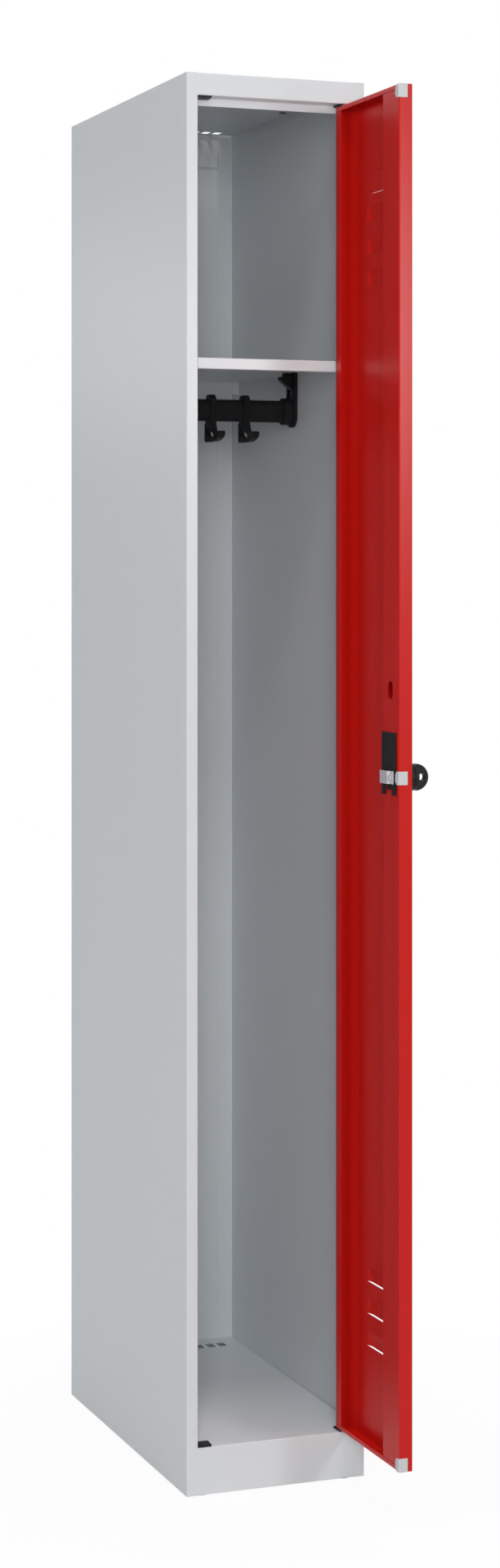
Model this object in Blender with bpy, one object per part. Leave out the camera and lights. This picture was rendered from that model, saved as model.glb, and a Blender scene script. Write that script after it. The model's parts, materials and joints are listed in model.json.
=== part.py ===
"""Single clothing locker: folded sheet steel cabinet with one louvred door.

Metres, +Z up. The cabinet faces -Y. The door is modelled open at a right angle, hinged on the right.
Pieces are placed in the cabinet's own frame (X across, Y to the back, Z from the floor), and one empty
shifts that frame so that the origin lies under the middle of the whole object.
"""
import bmesh
import bpy
from math import atan2, cos, degrees, pi, radians, sin, tan
from mathutils import Matrix, Vector

# Overall size of the closed cabinet
WIDTH = 0.242
DEPTH = 0.500
HEIGHT = 1.800

# Sheet metal
SHEET = 0.0008
BEND = 0.0014            # outer radius of a fold
BEND_STEPS = 3
FLAT_ANGLE = radians(0.5)
SEAT = 0.0003            # gap left between pieces that touch

# Cabinet shell
STRIP_WIDTH = 0.0152     # front frame strip of a side panel
STRIP_RETURN = 0.020
REAR_FLANGE = 0.0225
HEADER_HEIGHT = 0.0285
HEADER_DEPTH = 0.0205
STOP_DROP = 0.0102       # door stop strip below the header's underside
ROOF_FLANGE = 0.012
ROOF_REAR_FLANGE = 0.047
PLINTH_HEIGHT = 0.060
BASE_RETURN = 0.030
FLOOR_FLANGE = 0.012
SLOT_WIDTH = 0.0110
SLOT_LENGTH = 0.0190
SLOT_PITCH = 0.0165
SLOT_COUNT = 12
ROOF_SLOT_INSET = 0.009  # rear wall to the roof's slots
FLOOR_SLOT_INSET = 0.028

# Glides under the base
GLIDE_HEIGHT = 0.003
GLIDE_RADIUS = 0.008
GLIDE_STEM_RADIUS = 0.003
GLIDE_STEM_LENGTH = 0.008
GLIDE_INSET_X = 0.024
GLIDE_INSET_Y = 0.015
GLIDE_EDGE = 0.0008
GLIDE_SIDES = 20

# Hat shelf
HAT_SPACE = 0.358        # cabinet top down to the shelf
SHELF_LIP = 0.0143
SHELF_RECESS = 0.0235    # front face of the cabinet to the shelf's lip
SHELF_LIP_RETURN = 0.010
SHELF_REAR_GAP = 0.030   # air gap between the shelf and the rear wall
SHELF_REAR_LIP = 0.018

# Clothes rail, brackets and hooks
RAIL_HEIGHT = 0.030
RAIL_THICKNESS = 0.015
RAIL_WALL = 0.0012
RAIL_DROP = 0.054        # shelf top down to the rail's centre
RAIL_CENTRE_Y = 0.0
RAIL_STEPS = 8
BRACKET_WIDTH = 0.030
BRACKET_PLATE = 0.005
BRACKET_CUP_LENGTH = 0.013
BRACKET_CUP_WALL = 0.003
BRACKET_FOOT = 0.0215    # rail centre down to the plate's round foot
BRACKET_NUB_REACH = 0.016
BRACKET_NUB_DROP = 0.017
BRACKET_HEAD_REACH = 0.0095
BRACKET_HEAD_HEIGHT = 0.0055
BRACKET_NUB_WIDTH = 0.012
BRACKET_STEPS = 10
HOOK_NAMES = ("left", "middle", "right")
HOOK_PITCH = 0.0485
HOOK_WIDTH = 0.0085
HOOK_RING_WALL = 0.0028
HOOK_FIT = 0.0003        # running gap between ring and rail
HOOK_CAP = 0.0029        # raised clip on top of the ring
HOOK_CAP_WIDTH = 0.011
HOOK_DROP = 0.043        # rail centre down to the hook's foot
HOOK_BACK = 0.015
HOOK_HEEL = 0.003        # chamfer at the foot's back corner
HOOK_FLAT = 0.014        # flat of the foot in front of the rail's centre
HOOK_REACH = 0.047
HOOK_TIP_RISE = 0.0135   # hook's foot up to the top of its tip
HOOK_TIP_LENGTH = 0.014
HOOK_NOTCH = 0.0025
HOOK_NECK = 0.0055       # how far the foot stands out in front of the ring
HOOK_EYE_RADIUS = 0.0048
HOOK_EYE_BACK = 0.0075
HOOK_EYE_FRONT = 0.0165
HOOK_EYE_LOW = 0.0068  # foot up to the eye's front end
HOOK_EYE_SLOPE = 0.007
HOOK_SWEEP_STEPS = 6

# Door
DOOR_THICKNESS = 0.0178
DOOR_GAP_HINGE = 0.0012
DOOR_GAP_LOCK = 0.0024
DOOR_GAP_END = 0.0042    # above the floor and below the header
HINGE_FROM_EDGE = 0.0053
HINGE_FROM_FACE = 0.0036
DOOR_OPEN = radians(90)
HINGE_RETURN = 0.018
LOCK_RETURN = 0.052
END_RETURN = 0.006
CORNER_RELIEF = 0.0006   # gap between neighbouring folds at a corner
RETURN_STANDOFF = 0.0009  # box fold's inner edge to the skin
PIN_RADIUS = 0.0020
PIN_FIT = 0.0003
PIN_LENGTH = 0.0025  # inside the door
PIN_COLLAR_RADIUS = 0.0033
PIN_CHAMFER = 0.0004
PIN_SIDES = 16

# Louvres and label slits in the door's skin
LOUVRE_WIDTH = 0.078
LOUVRE_HEIGHT = 0.020
LOUVRE_DEPTH = 0.0034
LOUVRE_SHEAR = 0.0003  # lip's lift above the window's lower edge
LOUVRE_END = 0.011       # length of a hood's sloped end
LOUVRE_PITCH = 0.0408
LOUVRE_COUNT = 3
LOUVRE_STEPS = 4
LOUVRE_LOWER_RISE = 0.1198  # door's lower end up to the lowest window
LOUVRE_UPPER_DROP = 0.2343  # door's upper end down to the upper group's lowest window
LABEL_SLIT_WIDTH = 0.042
LABEL_SLIT_HEIGHT = 0.0004
LABEL_SLIT_DROP = 0.1193  # door's upper end down to the lower slit
LABEL_SLIT_PITCH = 0.0276
LABEL_HOLE = 0.0014      # square hole at a slit's end beside the hinge

# Pivot plates
PLATE_WIDTH = 0.0200
PLATE_DEPTH = 0.0190
PLATE_THICKNESS = 0.0025
PLATE_TAPER = 0.0018     # narrower at the front by this much

# Corner bumpers on the door's free edge
BUMPER_HEIGHT = 0.0165
BUMPER_ON_EDGE = 0.011
BUMPER_ON_FLANGE = 0.009
BUMPER_EDGE_WALL = 0.0009
BUMPER_FLANGE_WALL = 0.0014
BUMPER_CHAMFER = 0.0040
BUMPER_END_INSET = 0.0005

# Rotary latch
LOCK_HEIGHT = 0.9165     # axis above the floor
LOCK_FROM_EDGE = 0.0185  # free edge to the axis
LOCK_BODY_FROM_EDGE = 0.0090
LOCK_BODY_WIDTH = 0.030
LOCK_BODY_ABOVE = 0.0135
LOCK_BODY_BELOW = 0.0155
COVER_WIDTH = 0.0434
COVER_HEIGHT = 0.0774
COVER_WALL = 0.0015
COVER_BELOW = 0.022      # axis down to the cover's lower edge
COVER_EDGE_INSET = 0.0082
COVER_NOTCH = 0.020
COVER_NOTCH_FROM_EDGE = 0.0205
COVER_NOTCH_BELOW = 0.0075  # axis down to the notch's upper end
KEYHOLE_WIDTH = 0.0145
KEYHOLE_HEIGHT = 0.0223
KEYHOLE_ABOVE_LOCK = 0.107
KEYHOLE_FROM_EDGE = 0.0282
SPINDLE_RADIUS = 0.005
SPINDLE_FIT = 0.0003
CAM_WALL = 0.0016
CAM_HEIGHT = 0.016
CAM_REACH = 0.0274
CAM_TAIL = 0.0065
CAM_CRANK = 0.0030  # offset between hub and tongue
CAM_RUN = 0.0006  # length of the sloped part of the crank
CAM_NUT_ROOM = 0.0004  # nut to the start of the crank
NUT_WIDTH = 0.0065  # across flats
NUT_HEIGHT = 0.0026
ROSETTE_RADIUS = 0.0172
ROSETTE_HEIGHT = 0.0052
HANDLE_RADIUS = 0.0165
HANDLE_HUB_HEIGHT = 0.0050
HANDLE_WING = 0.0085
PADLOCK_RADIUS = 0.0044
PADLOCK_FROM_HUB = 0.0078
ROSETTE_EDGE = 0.0010
HANDLE_SOCKET = 0.0035
HANDLE_STEPS = 16
THREAD_RADIUS = 0.002
LATCH_SIDES = 24
KEYHOLE_STEPS = 8

# Places that follow from the sizes above
FRONT = -DEPTH / 2
REAR = DEPTH / 2
WALL_IN = WIDTH / 2 - SHEET
OPENING = WIDTH / 2 - STRIP_WIDTH
BASE = GLIDE_HEIGHT
FLOOR_TOP = BASE + PLINTH_HEIGHT
HEADER_LOW = HEIGHT - HEADER_HEIGHT
SHELF_TOP = HEIGHT - HAT_SPACE
RAIL_CENTRE_Z = SHELF_TOP - RAIL_DROP
SIDE_REAR = REAR - SHEET - SEAT
PAN_HALF = WALL_IN - SEAT
APRON_HALF = OPENING - SEAT
STRIP_IN = OPENING + SHEET + SEAT             # inside of a frame strip's return
BEHIND_RETURN = FRONT + STRIP_RETURN + SEAT
FLANGE_IN = WIDTH / 2 - REAR_FLANGE
DOOR_LOW = FLOOR_TOP + DOOR_GAP_END
DOOR_TOP = HEADER_LOW - DOOR_GAP_END
DOOR_WIDTH = 2 * OPENING - DOOR_GAP_HINGE - DOOR_GAP_LOCK
HINGE_X = OPENING - DOOR_GAP_HINGE - HINGE_FROM_EDGE
HINGE_Y = FRONT + HINGE_FROM_FACE
SKIN_Y = -HINGE_FROM_FACE                     # door frame: outer face
FLANGE_Y = SKIN_Y + DOOR_THICKNESS            # door frame: inner face of the returns
HINGE_EDGE = HINGE_FROM_EDGE                  # door frame: edge beside the hinge
FREE_EDGE = HINGE_EDGE - DOOR_WIDTH
LOCK_X = FREE_EDGE + LOCK_FROM_EDGE
CAM_CRANK_START = NUT_WIDTH / 2 + CAM_NUT_ROOM
HANDLE_REACH = ROSETTE_HEIGHT + HANDLE_HUB_HEIGHT + HANDLE_RADIUS + 2 * SEAT
BOX_X = ((HINGE_X + HINGE_FROM_FACE + HANDLE_REACH) - WIDTH / 2) / 2
BOX_Y = (REAR + HINGE_Y + FREE_EDGE - BUMPER_EDGE_WALL - SEAT) / 2

COLOURS = {
    "grey_coat": ((0.592, 0.640, 0.665), 0.30, 0.0),
    "red_coat": ((0.490, 0.007, 0.005), 0.29, 0.0),
    "black_plastic": ((0.012, 0.012, 0.013), 0.45, 0.0),
    "pale_rubber": ((0.580, 0.590, 0.600), 0.60, 0.0),
    "grey_plastic": ((0.520, 0.525, 0.535), 0.50, 0.0),
    "zinc": ((0.480, 0.470, 0.490), 0.30, 1.0),
}


def clear_scene():
    for item in list(bpy.data.objects):
        bpy.data.objects.remove(item, do_unlink=True)


def make_material(name):
    colour, roughness, metallic = COLOURS[name]
    material = bpy.data.materials.new(name)
    material.use_nodes = True
    shader = material.node_tree.nodes["Principled BSDF"]
    shader.inputs["Base Color"].default_value = (*colour, 1.0)
    shader.inputs["Roughness"].default_value = roughness
    shader.inputs["Metallic"].default_value = metallic
    return material


def make_empty(name, parent, place, turn=0.0):
    empty = bpy.data.objects.new(name, None)
    bpy.context.scene.collection.objects.link(empty)
    empty.parent = parent
    empty.location = place
    empty.rotation_euler = (0.0, 0.0, turn)
    return empty


def make_object(name, bm, material, parent, place=(0.0, 0.0, 0.0)):
    """Turn a bmesh into a named, shaded object under its parent."""
    bmesh.ops.remove_doubles(bm, verts=bm.verts, dist=1e-6)
    mesh = bpy.data.meshes.new(name)
    bm.to_mesh(mesh)
    bm.free()
    mesh.materials.append(material)
    mesh.shade_smooth()
    mesh.set_sharp_from_angle(angle=radians(35))
    item = bpy.data.objects.new(name, mesh)
    bpy.context.scene.collection.objects.link(item)
    item.parent = parent
    item.location = place
    return item


def thicken(item):
    """Give a one-sided sheet its wall, grown behind the modelled face."""
    wall = item.modifiers.new("wall", "SOLIDIFY")
    wall.thickness = SHEET
    wall.offset = -1.0
    wall.use_even_offset = True
    wall.use_quality_normals = True
    return item


def combine(item, helper, operation):
    """Cut a piece with a hidden helper shape, or join the helper to it."""
    helper.hide_render = True
    helper.display_type = "WIRE"
    step = item.modifiers.new(helper.name, "BOOLEAN")
    step.operation = operation
    step.solver = "EXACT"
    step.object = helper
    return item


def near(a, b):
    """Whether two coordinates are the same place in 32-bit numbers."""
    return abs(a - b) < 1e-6


def arc(centre, radius, start, end, steps):
    """Points of a 2-D arc, both ends included, angles in degrees."""
    turns = [radians(start + (end - start) * i / steps) for i in range(steps + 1)]
    return [(centre[0] + radius * cos(a), centre[1] + radius * sin(a)) for a in turns]


def folded(corners, radius=BEND, steps=BEND_STEPS):
    """Round the inner corners of an open 2-D line, as a folded sheet has them."""
    points = [Vector(corners[0])]
    for before, corner, after in zip(corners, corners[1:], corners[2:]):
        corner = Vector(corner)
        to_before = (Vector(before) - corner).normalized()
        to_after = (Vector(after) - corner).normalized()
        reach = radius / tan(to_before.angle(to_after) / 2)
        first = corner + to_before * reach
        last = corner + to_after * reach
        for i in range(steps + 1):
            t = i / steps
            points.append((1 - t) ** 2 * first + 2 * t * (1 - t) * corner + t ** 2 * last)
    points.append(Vector(corners[-1]))
    return [tuple(p) for p in points]


def grid_sheet(rows, place, columns, keep):
    """A one-sided sheet swept along a profile.

    rows are the profile's 2-D points, columns the stations across it, place turns both into a point,
    and keep says which cell of the net is metal.
    """
    bm = bmesh.new()
    net = [[bm.verts.new(place(row, column)) for column in columns] for row in rows]
    for i in range(len(rows) - 1):
        for j in range(len(columns) - 1):
            if keep(rows[i], rows[i + 1], columns[j], columns[j + 1]):
                bm.faces.new((net[i][j], net[i + 1][j], net[i + 1][j + 1], net[i][j + 1]))
    loose = [v for v in bm.verts if not v.link_faces]
    bmesh.ops.delete(bm, geom=loose, context="VERTS")
    bmesh.ops.recalc_face_normals(bm, faces=bm.faces)
    return bm


def merge_flat(bm):
    """Drop the net's lines where the sheet is flat."""
    bmesh.ops.dissolve_limit(bm, angle_limit=FLAT_ANGLE, verts=bm.verts, edges=bm.edges)
    spare = [v for v in bm.verts if len(v.link_edges) == 2 and v.calc_edge_angle() < FLAT_ANGLE]
    bmesh.ops.dissolve_verts(bm, verts=spare)


def fold_edge(bm, chosen, moves):
    """Draw a flange out of the sheet's open edges that chosen picks, one move after another."""
    edges = [e for e in bm.edges if e.is_boundary and chosen((e.verts[0].co + e.verts[1].co) / 2)]
    for move in moves:
        drawn = bmesh.ops.extrude_edge_only(bm, edges=edges)["geom"]
        points = [g for g in drawn if isinstance(g, bmesh.types.BMVert)]
        edges = [g for g in drawn if isinstance(g, bmesh.types.BMEdge)]
        edges = [e for e in edges if e.is_boundary and all(v in points for v in e.verts)]
        bmesh.ops.translate(bm, vec=move, verts=points)
    bmesh.ops.recalc_face_normals(bm, faces=bm.faces)


def bend_moves(out, turn, length, radius=BEND, steps=BEND_STEPS):
    """Moves that draw a fold from direction out round to direction turn, then on by length."""
    out = Vector(out)
    turn = Vector(turn)
    spots = [out * radius * sin(a) + turn * radius * (1 - cos(a))
             for a in (pi / 2 * i / steps for i in range(steps + 1))]
    moves = [b - a for a, b in zip(spots, spots[1:])]
    return moves + [turn * (length - radius)]


def face_outward(bm, direction):
    """Turn the whole sheet so that the face with the largest area looks along direction."""
    bmesh.ops.recalc_face_normals(bm, faces=bm.faces)
    largest = max(bm.faces, key=lambda f: f.calc_area())
    if largest.normal.dot(Vector(direction)) < 0:
        bmesh.ops.reverse_faces(bm, faces=bm.faces)


def box(low, high):
    bm = bmesh.new()
    size = Vector(high) - Vector(low)
    middle = (Vector(high) + Vector(low)) / 2
    bmesh.ops.create_cube(bm, size=1.0, matrix=Matrix.Translation(middle) @ Matrix.Diagonal((*size, 1.0)))
    return bm


def slab(outline, place, low, high):
    """A closed solid: a 2-D outline drawn out between two levels of its third direction."""
    bm = bmesh.new()
    bottom = [bm.verts.new(place(point, low)) for point in outline]
    top = [bm.verts.new(place(point, high)) for point in outline]
    bm.faces.new(bottom)
    bm.faces.new(top)
    for i in range(len(outline)):
        j = (i + 1) % len(outline)
        bm.faces.new((bottom[i], bottom[j], top[j], top[i]))
    bmesh.ops.recalc_face_normals(bm, faces=bm.faces)
    return bm


def turned(profile, direction, steps):
    """A closed solid turned about an axis: profile holds (distance along it, radius) pairs."""
    bm = bmesh.new()
    turn = Vector((0.0, 0.0, 1.0)).rotation_difference(Vector(direction)).to_matrix()
    rings = []
    for along, radius in profile:
        ring = [turn @ Vector((radius * cos(a), radius * sin(a), along))
                for a in (2 * pi * i / steps for i in range(steps))]
        rings.append([bm.verts.new(point) for point in ring])
    bm.faces.new(rings[0])
    bm.faces.new(rings[-1])
    for lower, upper in zip(rings, rings[1:]):
        for i in range(steps):
            j = (i + 1) % steps
            bm.faces.new((lower[i], lower[j], upper[j], upper[i]))
    bmesh.ops.recalc_face_normals(bm, faces=bm.faces)
    return bm


def oval(height, thickness, steps):
    """Outline of an oval tube in the (Y, Z) plane: straight sides and round ends."""
    radius = thickness / 2
    rise = height / 2 - radius
    return arc((0.0, rise), radius, 0, 180, steps) + arc((0.0, -rise), radius, 180, 360, steps)


def along_x(point, level):
    return (level, point[0], point[1])


def along_y(point, level):
    return (point[0], level, point[1])


def along_z(point, level):
    return (point[0], point[1], level)


def slot_edges():
    """Left and right edges of the vent slots, from left to right."""
    first = -(SLOT_COUNT - 1) / 2 * SLOT_PITCH
    middles = [first + i * SLOT_PITCH for i in range(SLOT_COUNT)]
    return [(m - SLOT_WIDTH / 2, m + SLOT_WIDTH / 2) for m in middles]


def in_slot(x):
    return any(low < x < high for low, high in slot_edges())


def side_panel(name, side, material, parent):
    """Side wall folded into the front frame strip with its return, and into the rear flange."""
    rows = folded([(OPENING, FRONT + STRIP_RETURN), (OPENING, FRONT), (WIDTH / 2, FRONT),
                   (WIDTH / 2, SIDE_REAR), (FLANGE_IN, SIDE_REAR)])
    bm = grid_sheet(rows, lambda row, z: (side * row[0], row[1], z), [BASE, HEIGHT], lambda *cell: True)
    face_outward(bm, (side, 0.0, 0.0))
    return thicken(make_object(name, bm, material, parent))


def pan_columns():
    """Stations across a pan that fills the cabinet: wall folds, frame strips and vent slots."""
    half = [PAN_HALF - BEND, STRIP_IN, APRON_HALF, FLANGE_IN - SEAT]
    edges = [edge for pair in slot_edges() for edge in pair]
    return sorted([-x for x in half] + edges + half)


def with_stations(rows, stations, level):
    """Add points at the given Y stations on the straight run that lies at this level."""
    result = [rows[0]]
    for before, after in zip(rows, rows[1:]):
        if near(before[1], level) and near(after[1], level):
            low, high = sorted((before[0], after[0]))
            inside = sorted(y for y in stations if low < y < high)
            if before[0] > after[0]:
                inside.reverse()
            result.extend((y, level) for y in inside)
        result.append(after)
    return result


def pan_keep(levels, slot_low, slot_high, slot_level, tab_level=None):
    """Cells of a pan that are metal.

    Only the flat runs at the given levels reach out behind the frame strips; folds stay between them.
    At the tab level, tabs run on to the front and close the strips' ends.
    """
    rear_fold = SIDE_REAR - BEND

    def keep(row, following, left, right):
        y = (row[0] + following[0]) / 2
        x = abs(left + right) / 2
        flat = near(row[1], following[1]) and any(near(row[1], level) for level in levels)
        if flat and near(row[1], slot_level) and slot_low < y < slot_high and in_slot((left + right) / 2):
            return False
        if x > STRIP_IN and flat and tab_level is not None and near(row[1], tab_level):
            return y < rear_fold
        if x > APRON_HALF:
            return flat and BEHIND_RETURN < y < rear_fold
        if x > FLANGE_IN - SEAT:
            return y < rear_fold
        return True

    return keep


def wall_flanges(bm, level, length):
    """Fold both long edges of a pan down along the side walls."""
    for side in (-1, 1):
        fold_edge(bm, lambda p: near(p.z, level) and p.x * side > PAN_HALF - BEND - SEAT,
                  bend_moves((side, 0, 0), (0, 0, -1), length))


def roof_panel(material, parent):
    """Roof pan: door stop, header underside, header front, vented top, rear and wall flanges."""
    stop = FRONT + HEADER_DEPTH
    rows = folded([(stop, HEADER_LOW - STOP_DROP), (stop, HEADER_LOW), (FRONT, HEADER_LOW), (FRONT, HEIGHT),
                   (SIDE_REAR, HEIGHT), (SIDE_REAR, HEIGHT - ROOF_REAR_FLANGE)])
    slot_high = REAR - ROOF_SLOT_INSET
    slot_low = slot_high - SLOT_LENGTH
    rows = with_stations(rows, [BEHIND_RETURN, slot_low, slot_high], HEIGHT)
    keep = pan_keep([HEIGHT], slot_low, slot_high, HEIGHT, HEIGHT)
    bm = grid_sheet(rows, lambda row, x: along_x(row, x), pan_columns(), keep)
    wall_flanges(bm, HEIGHT, ROOF_FLANGE)
    face_outward(bm, (0.0, 0.0, 1.0))
    merge_flat(bm)
    return thicken(make_object("roof_panel", bm, material, parent))


def floor_panel(material, parent):
    """Floor pan: plinth front, vented floor, rear apron, bottom returns and wall flanges."""
    rows = folded([(FRONT + BASE_RETURN, BASE), (FRONT, BASE), (FRONT, FLOOR_TOP), (SIDE_REAR, FLOOR_TOP),
                   (SIDE_REAR, BASE), (SIDE_REAR - BASE_RETURN, BASE)])
    slot_high = REAR - FLOOR_SLOT_INSET
    slot_low = slot_high - SLOT_LENGTH
    rows = with_stations(rows, [BEHIND_RETURN, slot_low, slot_high], FLOOR_TOP)
    rows = with_stations(rows, [BEHIND_RETURN], BASE)
    keep = pan_keep([BASE, FLOOR_TOP], slot_low, slot_high, FLOOR_TOP)
    bm = grid_sheet(rows, lambda row, x: along_x(row, x), pan_columns(), keep)
    wall_flanges(bm, FLOOR_TOP, FLOOR_FLANGE)
    face_outward(bm, (0.0, 0.0, 1.0))
    merge_flat(bm)
    panel = thicken(make_object("floor_panel", bm, material, parent))
    radius = GLIDE_STEM_RADIUS + SEAT
    for number, (x, y) in enumerate(glide_places(), 1):
        drill = turned([(BASE - SHEET, radius), (BASE + 2 * SHEET, radius)], (0, 0, 1), GLIDE_SIDES)
        hole = make_object(f"glide_hole_{number}", drill, material, parent, (x, y, 0.0))
        combine(panel, hole, "DIFFERENCE")
    return panel


def glide_places():
    """Corners of the base that stand on a glide."""
    x = WIDTH / 2 - GLIDE_INSET_X
    return [(-x, FRONT + GLIDE_INSET_Y), (x, FRONT + GLIDE_INSET_Y),
            (-x, SIDE_REAR - GLIDE_INSET_Y), (x, SIDE_REAR - GLIDE_INSET_Y)]


def glides(material, parent):
    """Push-in feet: a round pad under the return and a stem through it."""
    pad_top = BASE - SEAT
    profile = [(0.0, GLIDE_RADIUS - GLIDE_EDGE), (GLIDE_EDGE, GLIDE_RADIUS), (pad_top, GLIDE_RADIUS),
               (pad_top, GLIDE_STEM_RADIUS), (pad_top + GLIDE_STEM_LENGTH, GLIDE_STEM_RADIUS)]
    names = ("front_left", "front_right", "rear_left", "rear_right")
    for name, (x, y) in zip(names, glide_places()):
        make_object(f"glide_{name}", turned(profile, (0, 0, 1), GLIDE_SIDES), material, parent, (x, y, 0.0))


def hat_shelf(material, parent):
    """Shelf pan with a front lip that is folded back, and a rear lip."""
    front = FRONT + SHELF_RECESS
    rear = REAR - SHEET - SHELF_REAR_GAP
    low = SHELF_TOP - SHELF_LIP
    rows = folded([(front + SHELF_LIP_RETURN, low), (front, low), (front, SHELF_TOP), (rear, SHELF_TOP),
                   (rear, SHELF_TOP - SHELF_REAR_LIP)])
    bm = grid_sheet(rows, lambda row, x: along_x(row, x), [-PAN_HALF, PAN_HALF], lambda *cell: True)
    face_outward(bm, (0.0, 0.0, 1.0))
    return thicken(make_object("hat_shelf", bm, material, parent))


def pivot_plate(name, side, low, material, parent):
    """Bearing plate in a front corner of the opening, bored for the hinge pin."""
    outer = OPENING - SEAT
    inner = OPENING - PLATE_WIDTH
    back = FRONT + PLATE_DEPTH
    outline = [(outer, FRONT), (outer, back), (inner, back), (inner + PLATE_TAPER, FRONT)]
    bm = slab([(side * x, y) for x, y in outline], along_z, low, low + PLATE_THICKNESS)
    plate = make_object(name, bm, material, parent)
    radius = PIN_RADIUS + PIN_FIT
    ends = [(low - PLATE_THICKNESS, radius), (low + 2 * PLATE_THICKNESS, radius)]
    drill = turned(ends, (0, 0, 1), PIN_SIDES)
    bore = make_object(f"{name}_bore", drill, material, parent, (side * HINGE_X, HINGE_Y, 0.0))
    return combine(plate, bore, "DIFFERENCE")


def pivot_plates(material, parent):
    for side, hand in ((-1, "left"), (1, "right")):
        pivot_plate(f"pivot_plate_bottom_{hand}", side, FLOOR_TOP + SEAT, material, parent)
        pivot_plate(f"pivot_plate_top_{hand}", side, HEADER_LOW - SEAT - PLATE_THICKNESS, material, parent)


def rail_place(point, x):
    """From the rail's section to the cabinet: (Y, Z) about the rail's centre line."""
    return (x, RAIL_CENTRE_Y + point[0], RAIL_CENTRE_Z + point[1])


def tube(outer, inner, place, low, high):
    """A closed tube between two outlines with the same number of points."""
    bm = bmesh.new()
    rings = [[bm.verts.new(place(point, level)) for point in outline]
             for outline, level in ((outer, low), (outer, high), (inner, high), (inner, low))]
    for first, second in zip(rings, rings[1:] + rings[:1]):
        for i in range(len(outer)):
            j = (i + 1) % len(outer)
            bm.faces.new((first[i], first[j], second[j], second[i]))
    bmesh.ops.recalc_face_normals(bm, faces=bm.faces)
    return bm


def rail_half_length():
    return WALL_IN - SEAT - BRACKET_PLATE - SEAT


def clothes_rail(material, parent):
    """Oval tube between the two brackets."""
    outer = oval(RAIL_HEIGHT, RAIL_THICKNESS, RAIL_STEPS)
    inner = oval(RAIL_HEIGHT - 2 * RAIL_WALL, RAIL_THICKNESS - 2 * RAIL_WALL, RAIL_STEPS)
    half = rail_half_length()
    return make_object("clothes_rail", tube(outer, inner, rail_place, -half, half), material, parent)


def rail_bracket(name, side, material, parent):
    """End bracket on a side wall: plate with a round foot, a cup for the rail, a head under the shelf."""
    wall = WALL_IN - SEAT
    face = wall - BRACKET_PLATE
    top = SHELF_TOP - SHEET - SEAT - RAIL_CENTRE_Z
    half = BRACKET_WIDTH / 2
    foot = arc((0.0, half - BRACKET_FOOT), half, 180, 360, BRACKET_STEPS)
    outline = foot + [(half, top), (-half, top)]
    solid = slab(outline, lambda p, x: rail_place(p, side * x), face, wall)
    plate = make_object(name, solid, material, parent)
    bore_height = RAIL_HEIGHT + 2 * SEAT
    bore_thickness = RAIL_THICKNESS + 2 * SEAT
    cup = tube(oval(bore_height + 2 * BRACKET_CUP_WALL, bore_thickness + 2 * BRACKET_CUP_WALL, RAIL_STEPS),
               oval(bore_height, bore_thickness, RAIL_STEPS),
               lambda p, x: rail_place(p, side * x), face - BRACKET_CUP_LENGTH, face + BRACKET_PLATE / 2)
    combine(plate, make_object(f"{name}_cup", cup, material, parent), "UNION")
    nub = [(wall - BRACKET_PLATE / 2, top - BRACKET_HEAD_HEIGHT - BRACKET_NUB_DROP),
           (face, top - BRACKET_HEAD_HEIGHT - BRACKET_NUB_DROP),
           (face - BRACKET_NUB_REACH, top - BRACKET_HEAD_HEIGHT - BRACKET_NUB_DROP / 4),
           (face - BRACKET_NUB_REACH, top - BRACKET_HEAD_HEIGHT),
           (face - BRACKET_HEAD_REACH, top - BRACKET_HEAD_HEIGHT),
           (face - BRACKET_HEAD_REACH, top - SEAT),
           (wall - BRACKET_PLATE / 2, top - SEAT)]
    head = slab([(side * x, RAIL_CENTRE_Z + z) for x, z in nub], along_y,
                RAIL_CENTRE_Y - BRACKET_NUB_WIDTH / 2, RAIL_CENTRE_Y + BRACKET_NUB_WIDTH / 2)
    return combine(plate, make_object(f"{name}_head", head, material, parent), "UNION")


def hook_outline():
    """Profile of a coat hook in (Y, Z) about the rail's centre line."""
    ring_y = RAIL_THICKNESS / 2 + HOOK_FIT + HOOK_RING_WALL
    ring_z = RAIL_HEIGHT / 2 + HOOK_FIT + HOOK_RING_WALL
    shoulder = RAIL_HEIGHT / 2 + HOOK_FIT
    foot = -HOOK_DROP
    tip = foot + HOOK_TIP_RISE
    tip_inner = -HOOK_REACH + HOOK_TIP_LENGTH
    sweep_y = HOOK_REACH - HOOK_FLAT
    sweep_z = HOOK_TIP_RISE - HOOK_NOTCH
    turns = [radians(270 - 90 * i / HOOK_SWEEP_STEPS) for i in range(HOOK_SWEEP_STEPS + 1)]
    sweep = [(-HOOK_FLAT + sweep_y * cos(a), foot + sweep_z + sweep_z * sin(a)) for a in turns]
    return [(HOOK_CAP_WIDTH / 2, ring_z + HOOK_CAP), (ring_y, shoulder), (ring_y, -shoulder),
            (HOOK_BACK, -ring_z), (HOOK_BACK, foot + HOOK_HEEL), (HOOK_BACK - HOOK_HEEL, foot), *sweep,
            (-HOOK_REACH + HOOK_NOTCH, tip), (tip_inner, tip), (tip_inner + HOOK_NOTCH, tip - HOOK_NOTCH),
            (-ring_y - HOOK_NECK, tip), (-ring_y, -ring_z), (-ring_y, shoulder),
            (-HOOK_CAP_WIDTH / 2, ring_z + HOOK_CAP)]


def hook_eye():
    """Slanted eye in the hook's foot, for a clothes hanger."""
    front = Vector((-HOOK_EYE_FRONT, -HOOK_DROP + HOOK_EYE_LOW))
    back = Vector((HOOK_EYE_BACK, -HOOK_DROP + HOOK_EYE_LOW + HOOK_EYE_SLOPE))
    slope = degrees(atan2(back.y - front.y, back.x - front.x))
    return (arc(back, HOOK_EYE_RADIUS, slope - 90, slope + 90, HOOK_SWEEP_STEPS)
            + arc(front, HOOK_EYE_RADIUS, slope + 90, slope + 270, HOOK_SWEEP_STEPS))


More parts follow.
